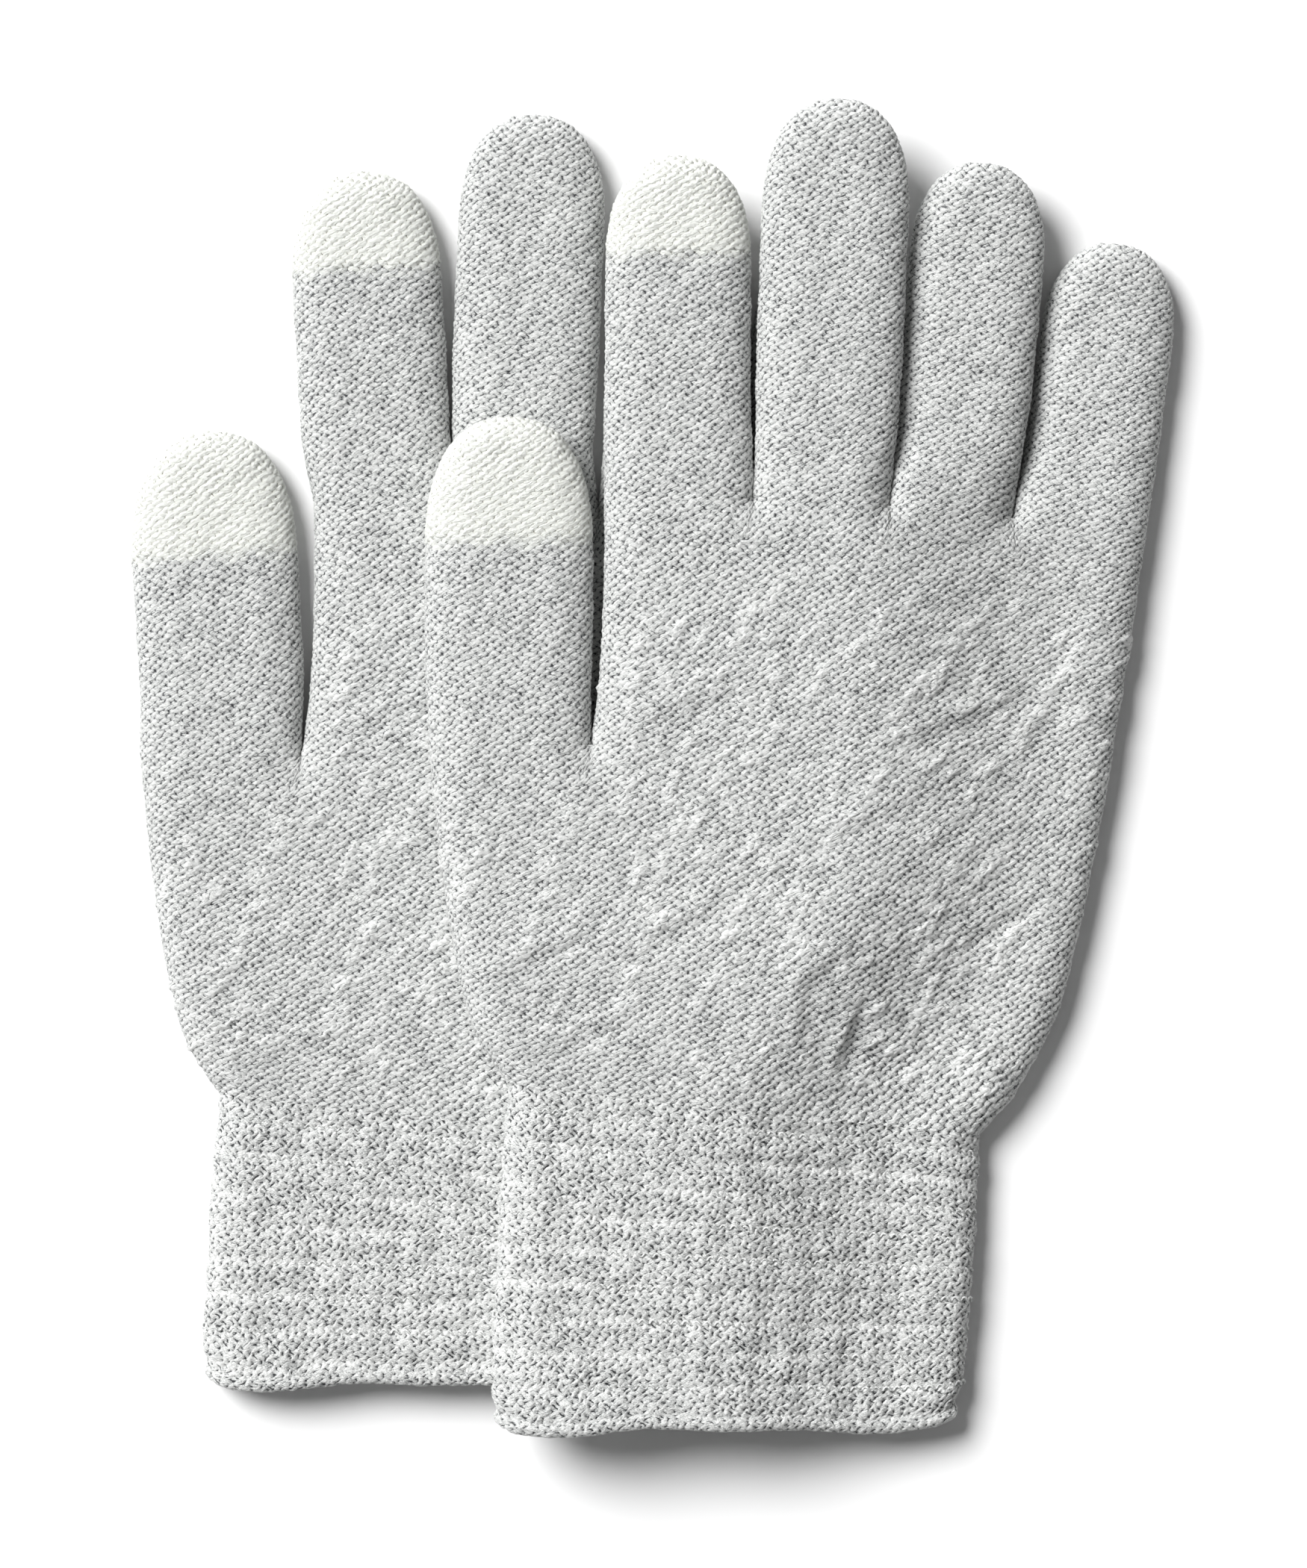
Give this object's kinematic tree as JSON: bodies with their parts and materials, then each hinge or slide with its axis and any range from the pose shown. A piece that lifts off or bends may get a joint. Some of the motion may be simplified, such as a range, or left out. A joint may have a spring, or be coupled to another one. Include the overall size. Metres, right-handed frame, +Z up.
{
  "type": "touchscreen gloves",
  "caption": "Pair of knitted gloves lying one on the other, hollow, with elastic cuffs and pale conductive thumb and index tips; digits bend at root and middle.",
  "frame": {"origin": "on the table plane, below the middle of the pair's bounding box", "axes": "+X across the hands towards the top glove's little finger, +Y along the hands towards the fingertips, +Z up from the table"},
  "size_m": [0.1794, 0.2286, 0.0188],
  "materials": {
    "grey_yarn": "matt heather knit",
    "cuff_yarn": "matt heather rib knit",
    "touch_yarn": "matt off-white conductive knit",
    "elastic": "covered elastic thread"
  },
  "bodies": {
    "under_hand": {"under_cuff_hem": "cuff_yarn", "under_cuff": "cuff_yarn", "under_cuff_elastic": "elastic", "under_five_finger_body": "grey_yarn", "under_four_finger_body": "grey_yarn", "under_index_base": "grey_yarn", "under_middle_base": "grey_yarn", "under_ring_base": "grey_yarn", "under_ring_sleeve": "grey_yarn", "under_little_base": "grey_yarn", "under_little_sleeve": "grey_yarn"},
    "under_thumb_root": {"under_thumb_base": "grey_yarn"},
    "under_thumb_end": {"under_thumb_sleeve": "grey_yarn", "under_thumb_touch_tip": "touch_yarn"},
    "under_index_end": {"under_index_sleeve": "grey_yarn", "under_index_touch_tip": "touch_yarn"},
    "under_middle_end": {"under_middle_sleeve": "grey_yarn"},
    "top_hand": {"top_cuff_hem": "cuff_yarn", "top_cuff": "cuff_yarn", "top_cuff_elastic": "elastic", "top_five_finger_body": "grey_yarn", "top_four_finger_body": "grey_yarn"},
    "top_thumb_root": {"top_thumb_base": "grey_yarn"},
    "top_thumb_end": {"top_thumb_sleeve": "grey_yarn", "top_thumb_touch_tip": "touch_yarn"},
    "top_index_root": {"top_index_base": "grey_yarn"},
    "top_index_end": {"top_index_sleeve": "grey_yarn", "top_index_touch_tip": "touch_yarn"},
    "top_middle_root": {"top_middle_base": "grey_yarn"},
    "top_middle_end": {"top_middle_sleeve": "grey_yarn"},
    "top_ring_root": {"top_ring_base": "grey_yarn"},
    "top_ring_end": {"top_ring_sleeve": "grey_yarn"},
    "top_little_root": {"top_little_base": "grey_yarn"},
    "top_little_end": {"top_little_sleeve": "grey_yarn"}
  },
  "joints": [
    {"name": "bend_under_thumb_root", "type": "hinge", "parent": "under_hand", "child": "under_thumb_root", "pos_m": [-0.07349, 0.0019, 0.0104], "axis": [1, 0, 0], "range_deg": [0, 60]},
    {"name": "bend_under_thumb_middle", "type": "hinge", "parent": "under_thumb_root", "child": "under_thumb_end", "pos_m": [-0.07497, 0.02669, 0.0091], "axis": [1, 0, 0], "range_deg": [0, 80]},
    {"name": "bend_under_index_middle", "type": "hinge", "parent": "under_hand", "child": "under_index_end", "pos_m": [-0.0483, 0.06999, 0.0091], "axis": [1, 0, 0], "range_deg": [0, 85]},
    {"name": "bend_under_middle_middle", "type": "hinge", "parent": "under_hand", "child": "under_middle_end", "pos_m": [-0.02101, 0.07634, 0.0091], "axis": [1, 0, 0], "range_deg": [0, 85]},
    {"name": "lift_top_glove", "type": "slide", "parent": "under_hand", "child": "top_hand", "axis": [0, 0, 1], "range_m": [0, 0.15]},
    {"name": "bend_top_thumb_root", "type": "hinge", "parent": "top_hand", "child": "top_thumb_root", "pos_m": [-0.02439, 0.0039, 0.02], "axis": [1, 0, 0], "range_deg": [0, 60]},
    {"name": "bend_top_thumb_middle", "type": "hinge", "parent": "top_thumb_root", "child": "top_thumb_end", "pos_m": [-0.02426, 0.02873, 0.0187], "axis": [1, 0, 0], "range_deg": [0, 80]},
    {"name": "bend_top_index_root", "type": "hinge", "parent": "top_hand", "child": "top_index_root", "pos_m": [0.00461, 0.0462, 0.02], "axis": [1, 0, 0], "range_deg": [0, 85]},
    {"name": "bend_top_index_middle", "type": "hinge", "parent": "top_index_root", "child": "top_index_end", "pos_m": [0.0047, 0.07203, 0.0187], "axis": [1, 0, 0], "range_deg": [0, 85]},
    {"name": "bend_top_middle_root", "type": "hinge", "parent": "top_hand", "child": "top_middle_root", "pos_m": [0.02951, 0.04555, 0.02], "axis": [1, 0, 0], "range_deg": [0, 85]},
    {"name": "bend_top_middle_middle", "type": "hinge", "parent": "top_middle_root", "child": "top_middle_end", "pos_m": [0.03089, 0.07834, 0.0187], "axis": [1, 0, 0], "range_deg": [0, 85]},
    {"name": "bend_top_ring_root", "type": "hinge", "parent": "top_hand", "child": "top_ring_root", "pos_m": [0.05191, 0.04385, 0.01501], "axis": [1, 0, 0], "range_deg": [0, 85]},
    {"name": "bend_top_ring_middle", "type": "hinge", "parent": "top_ring_root", "child": "top_ring_end", "pos_m": [0.05474, 0.07253, 0.01371], "axis": [1, 0, 0], "range_deg": [0, 85]},
    {"name": "bend_top_little_root", "type": "hinge", "parent": "top_hand", "child": "top_little_root", "pos_m": [0.07431, 0.04109, 0.0104], "axis": [1, 0, 0], "range_deg": [0, 85]},
    {"name": "bend_top_little_middle", "type": "hinge", "parent": "top_little_root", "child": "top_little_end", "pos_m": [0.0774, 0.06471, 0.0091], "axis": [1, 0, 0], "range_deg": [0, 85]}
  ]
}
